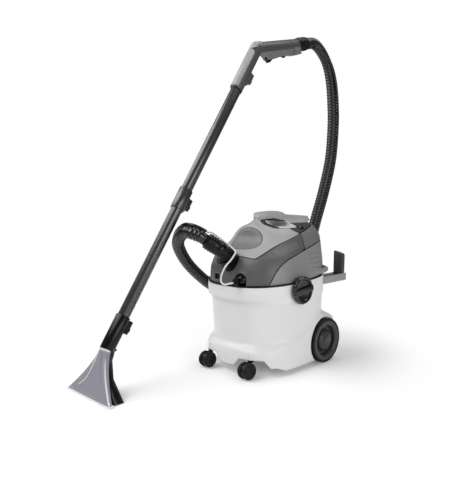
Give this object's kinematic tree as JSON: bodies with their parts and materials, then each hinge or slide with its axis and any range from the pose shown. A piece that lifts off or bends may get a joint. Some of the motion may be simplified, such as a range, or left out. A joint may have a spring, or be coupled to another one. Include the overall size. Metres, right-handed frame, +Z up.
{
  "type": "spray-extraction cleaner",
  "caption": "Wheeled spray-extraction cleaner: white tub with a grey lift-off head, a black two-piece wand with clear floor nozzle, and a ribbed suction hose with its spray line.",
  "frame": {"origin": "centre of the footprint of machine and wand, on the floor", "axes": "+Z up, the machine faces -Y, +X to its right-hand side"},
  "size_m": [0.4143, 1.1192, 1.0989],
  "materials": {
    "white_plastic": "satin",
    "seal_rubber": "matt",
    "bin_plastic": "satin",
    "axle_steel": "turned",
    "wheel_plastic": "satin",
    "tyre_rubber": "matt",
    "black_plastic": "satin",
    "tube_plastic": "semi-gloss",
    "frame_plastic": "matt",
    "cowl_plastic": "fine grain",
    "bonnet_plastic": "fine grain",
    "housing_plastic": "fine grain",
    "cover_plastic": "fine grain",
    "band_plastic": "satin",
    "oval_plastic": "fine grain",
    "motor_steel": "satin",
    "inner_plastic": "matt",
    "float_plastic": "satin",
    "bracket_plastic": "satin",
    "upright_plastic": "satin",
    "grip_plastic": "fine grain",
    "grip_cover_plastic": "fine grain",
    "clear_plastic": "clear plastic",
    "hose_plastic": "satin",
    "line_plastic": "satin",
    "clear_tube": "translucent"
  },
  "bodies": {
    "machine": {"tub": "white_plastic", "rim_seal": "seal_rubber", "dirty_bin": "bin_plastic", "axle_left": "axle_steel", "axle_right": "axle_steel", "hook_bracket": "bracket_plastic", "hook_upright": "upright_plastic", "nozzle_shell": "clear_plastic", "nozzle_frame": "black_plastic", "nozzle_lip": "white_plastic", "spray_jet": "black_plastic", "lower_tube": "tube_plastic", "upper_tube": "tube_plastic", "grip_body": "grip_plastic", "grip_cover": "grip_cover_plastic", "suction_hose": "hose_plastic", "spray_line": "line_plastic"},
    "head": {"head_frame": "frame_plastic", "side_cowl": "cowl_plastic", "bonnet": "bonnet_plastic", "rear_housing": "housing_plastic", "rear_cover": "cover_plastic", "switch_panel": "band_plastic", "carry_handle": "bonnet_plastic", "handle_liner": "black_plastic", "bonnet_cover": "oval_plastic", "name_plate": "cowl_plastic", "port_ring": "black_plastic", "hose_elbow": "black_plastic", "spray_socket": "black_plastic", "spray_plug": "black_plastic", "cable_gland": "black_plastic", "motor": "motor_steel", "fan_housing": "inner_plastic", "pump": "inner_plastic", "float_cage": "inner_plastic", "spray_tube": "clear_tube"},
    "fan_rotor": {"fan_rotor": "inner_plastic"},
    "float_ball": {"float_ball": "float_plastic"},
    "suction_switch": {"suction_switch": "black_plastic"},
    "pump_switch": {"pump_switch": "black_plastic"},
    "trigger": {"trigger": "black_plastic"},
    "trigger_lock": {"trigger_lock": "black_plastic"},
    "hose_swivel": {"hose_swivel": "black_plastic"},
    "latch_top": {"latch_top": "black_plastic"},
    "latch_middle": {"latch_middle": "black_plastic"},
    "latch_low": {"latch_low": "black_plastic"},
    "lock_knob_left": {"lock_knob_left": "black_plastic"},
    "lock_knob_right": {"lock_knob_right": "black_plastic"},
    "caster_left": {"caster_left": "black_plastic"},
    "caster_right": {"caster_right": "black_plastic"},
    "caster_wheels_left": {"caster_wheels_left": "tyre_rubber"},
    "caster_wheels_right": {"caster_wheels_right": "tyre_rubber"},
    "rear_wheel_left": {"rear_wheel_left": "wheel_plastic", "rear_tyre_left": "tyre_rubber", "hub_cap_left": "wheel_plastic"},
    "rear_wheel_right": {"rear_wheel_right": "wheel_plastic", "rear_tyre_right": "tyre_rubber", "hub_cap_right": "wheel_plastic"}
  },
  "joints": [
    {"name": "head_lift", "type": "slide", "parent": "machine", "child": "head", "axis": [0, 0, 1], "range_m": [0, 0.15], "deforming": ["suction_hose", "spray_line"]},
    {"name": "fan_spin", "type": "hinge", "parent": "head", "child": "fan_rotor", "pos_m": [0.03, 0.15063, 0.31], "axis": [0, 0, 1], "continuous": true},
    {"name": "float_rise", "type": "slide", "parent": "head", "child": "float_ball", "axis": [0, 0, 1], "range_m": [0, 0.032]},
    {"name": "suction_switch_rock", "type": "hinge", "parent": "head", "child": "suction_switch", "pos_m": [0.11232, 0.17663, 0.42791], "axis": [0, 1, 0], "range_deg": [-5.5, 5.5]},
    {"name": "pump_switch_rock", "type": "hinge", "parent": "head", "child": "pump_switch", "pos_m": [-0.05232, 0.17663, 0.42791], "axis": [0, 1, 0], "range_deg": [-5.5, 5.5]},
    {"name": "trigger_pull", "type": "hinge", "parent": "machine", "child": "trigger", "pos_m": [-0.092, 0.30124, 0.99735], "axis": [-1, 0, 0], "range_deg": [0, 7], "stiffness_Nm_per_rad": 0.5, "springref_deg": -5.73},
    {"name": "trigger_lock_slide", "type": "slide", "parent": "machine", "child": "trigger_lock", "axis": [0, 0.9632, 0.2689], "range_m": [-0.0035, 0.0045]},
    {"name": "hose_turn", "type": "hinge", "parent": "machine", "child": "hose_swivel", "pos_m": [-0.092, 0.40571, 1.05455], "axis": [0, 0.9632, 0.2689], "continuous": true},
    {"name": "latch_top_release", "type": "hinge", "parent": "machine", "child": "latch_top", "pos_m": [-0.092, 0.16909, 0.90407], "axis": [1, 0, 0], "range_deg": [0, 20], "stiffness_Nm_per_rad": 0.05, "springref_deg": -11.46},
    {"name": "latch_middle_release", "type": "hinge", "parent": "machine", "child": "latch_middle", "pos_m": [-0.092, -0.10071, 0.50708], "axis": [1, 0, 0], "range_deg": [0, 20], "stiffness_Nm_per_rad": 0.05, "springref_deg": -11.46},
    {"name": "latch_low_release", "type": "hinge", "parent": "machine", "child": "latch_low", "pos_m": [-0.092, -0.32554, 0.17624], "axis": [1, 0, 0], "range_deg": [0, 20], "stiffness_Nm_per_rad": 0.05, "springref_deg": -11.46},
    {"name": "lock_knob_left_turn", "type": "hinge", "parent": "machine", "child": "lock_knob_left", "pos_m": [-0.1353, 0.07863, 0.255], "axis": [1, 0, 0], "range_deg": [-90, 0]},
    {"name": "lock_knob_right_turn", "type": "hinge", "parent": "machine", "child": "lock_knob_right", "pos_m": [0.1953, 0.07863, 0.255], "axis": [1, 0, 0], "range_deg": [0, 90]},
    {"name": "caster_left_swivel", "type": "hinge", "parent": "machine", "child": "caster_left", "pos_m": [-0.056, -0.05337, 0.054], "axis": [0, 0, 1], "continuous": true},
    {"name": "caster_left_roll", "type": "hinge", "parent": "caster_left", "child": "caster_wheels_left", "pos_m": [-0.056, -0.07137, 0.0245], "axis": [1, 0, 0], "continuous": true},
    {"name": "caster_right_swivel", "type": "hinge", "parent": "machine", "child": "caster_right", "pos_m": [0.116, -0.05337, 0.054], "axis": [0, 0, 1], "continuous": true},
    {"name": "caster_right_roll", "type": "hinge", "parent": "caster_right", "child": "caster_wheels_right", "pos_m": [0.116, -0.07137, 0.0245], "axis": [1, 0, 0], "continuous": true},
    {"name": "rear_wheel_left_roll", "type": "hinge", "parent": "machine", "child": "rear_wheel_left", "pos_m": [-0.127, 0.21563, 0.072], "axis": [1, 0, 0], "continuous": true},
    {"name": "rear_wheel_right_roll", "type": "hinge", "parent": "machine", "child": "rear_wheel_right", "pos_m": [0.187, 0.21563, 0.072], "axis": [1, 0, 0], "continuous": true}
  ]
}
